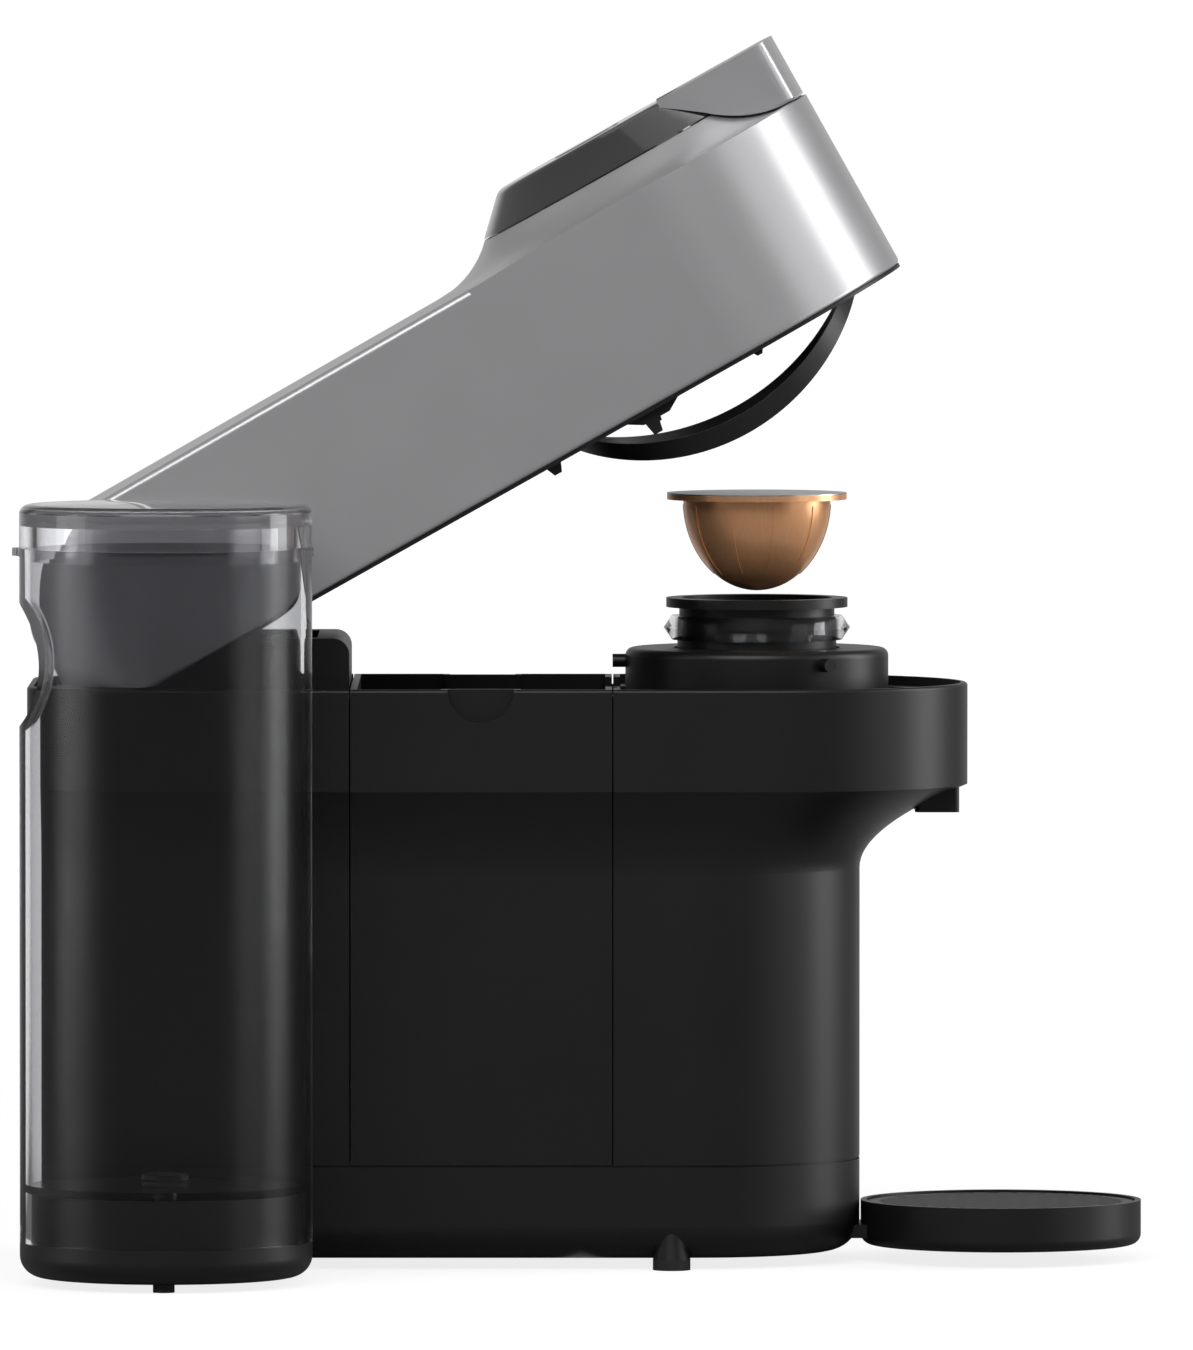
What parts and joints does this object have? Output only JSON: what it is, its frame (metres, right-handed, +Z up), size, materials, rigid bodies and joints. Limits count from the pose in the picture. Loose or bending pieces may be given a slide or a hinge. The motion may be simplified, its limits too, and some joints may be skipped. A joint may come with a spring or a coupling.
{
  "type": "pod coffee machine",
  "caption": "Slim pod coffee machine with a tilting brew head, twist-lock lever, spinning pod holder, lift-out container, cup tray and a clear water tank beside the body.",
  "frame": {"origin": "middle of the footprint on the table, under the open machine with its tank and tray", "axes": "+X to the front (cup side), +Y to the side away from the tank, +Z up"},
  "size_m": [0.4196, 0.2526, 0.4591],
  "materials": {
    "body_black": "satin moulded",
    "deck_black": "satin moulded",
    "foot_rubber": "matte",
    "head_grey": "satin metallic paint",
    "lever_grey": "satin metallic paint",
    "crown_gloss": "dark polished",
    "button_gloss": "dark polished",
    "chrome_trim": "bright",
    "ring_clear": "clear polished",
    "tank_clear": "clear moulded",
    "pod_copper": "copper anodised",
    "pod_foil": "foil",
    "coffee": "ground coffee",
    "steel": "turned",
    "plate_metal": "cast",
    "motor_metal": "painted",
    "board_green": "coated"
  },
  "bodies": {
    "chassis": {"base_pan": "body_black", "rubber_feet": "foot_rubber", "rear_shell": "body_black", "front_shell": "body_black", "case_screws": "steel", "brew_deck": "deck_black", "brew_collar": "deck_black", "collar_pins": "deck_black", "coffee_duct": "deck_black", "coffee_outlet": "body_black", "spin_motor": "motor_metal", "motor_bracket": "deck_black", "spin_bearing": "steel", "hinge_block": "body_black", "hinge_pin": "steel", "water_pump": "motor_metal", "pump_bracket": "deck_black", "flow_heater": "plate_metal", "suction_hose": "foot_rubber", "feed_hose": "foot_rubber", "control_board": "board_green", "cord_gland": "deck_black", "tank_base": "body_black", "tank_bridge": "body_black", "tank_feet": "foot_rubber", "tank_probe": "deck_black"},
    "container": {"pod_container": "body_black"},
    "tray": {"cup_tray": "body_black"},
    "grid": {"drip_grid": "deck_black"},
    "tank": {"water_tank": "tank_clear", "valve_seal": "foot_rubber"},
    "lid": {"tank_lid": "tank_clear"},
    "valve": {"tank_valve": "deck_black"},
    "holder": {"pod_holder": "deck_black", "holder_ring": "ring_clear", "drive_shaft": "steel"},
    "pod": {"coffee_pod": "pod_copper", "pod_foil": "pod_foil", "ground_coffee": "coffee"},
    "head": {"head_shell": "head_grey", "head_underside": "deck_black", "hinge_bushes": "steel", "brew_bridge": "deck_black", "brew_bearing": "steel"},
    "brew_head": {"brew_plate": "plate_metal", "brew_seal": "foot_rubber", "brew_needle": "steel"},
    "lock": {"lock_ring": "deck_black", "twist_carrier": "deck_black", "crown": "crown_gloss", "lever": "lever_grey", "lever_trim": "chrome_trim"},
    "button": {"brew_button": "button_gloss"}
  },
  "joints": [
    {"name": "head_hinge", "type": "hinge", "parent": "chassis", "child": "head", "pos_m": [-0.16505, 0.0553, 0.2458], "axis": [0, 1, 0], "range_deg": [0, 29.3]},
    {"name": "lock_twist", "type": "hinge", "parent": "head", "child": "lock", "pos_m": [0.04999, 0.0553, 0.33402], "axis": [-0.4894, 0, 0.8721], "range_deg": [0, 25]},
    {"name": "button_press", "type": "slide", "parent": "lock", "child": "button", "axis": [0.4894, 0, -0.8721], "range_m": [0, 0.002], "stiffness_N_per_m": 400, "springref_m": -0.001},
    {"name": "brew_spin", "type": "hinge", "parent": "head", "child": "brew_head", "pos_m": [0.04999, 0.0553, 0.33402], "axis": [-0.4894, 0, 0.8721], "continuous": true},
    {"name": "holder_spin", "type": "hinge", "parent": "chassis", "child": "holder", "pos_m": [0.06565, 0.0553, 0.211], "axis": [0, 0, 1], "continuous": true},
    {"name": "pod_seat", "type": "slide", "parent": "holder", "child": "pod", "axis": [0, 0, -1], "range_m": [0, 0.0368]},
    {"name": "container_lift", "type": "slide", "parent": "chassis", "child": "container", "axis": [0, 0, -1], "range_m": [-0.03, 0]},
    {"name": "tray_pull", "type": "slide", "parent": "chassis", "child": "tray", "axis": [1, 0, 0], "range_m": [0, 0.025]},
    {"name": "grid_lift", "type": "slide", "parent": "tray", "child": "grid", "axis": [0, 0, 1], "range_m": [0, 0.03]},
    {"name": "tank_lift", "type": "slide", "parent": "chassis", "child": "tank", "axis": [0, 0, 1], "range_m": [0, 0.06]},
    {"name": "lid_lift", "type": "slide", "parent": "tank", "child": "lid", "axis": [0, 0, 1], "range_m": [0, 0.04]},
    {"name": "valve_lift", "type": "slide", "parent": "tank", "child": "valve", "axis": [0, 0, 1], "range_m": [0, 0.002], "stiffness_N_per_m": 150, "springref_m": -0.001}
  ],
  "couplings": [
    {"joint": "pod_seat", "follows": "head_hinge", "m_per_rad": 0.071962}
  ]
}
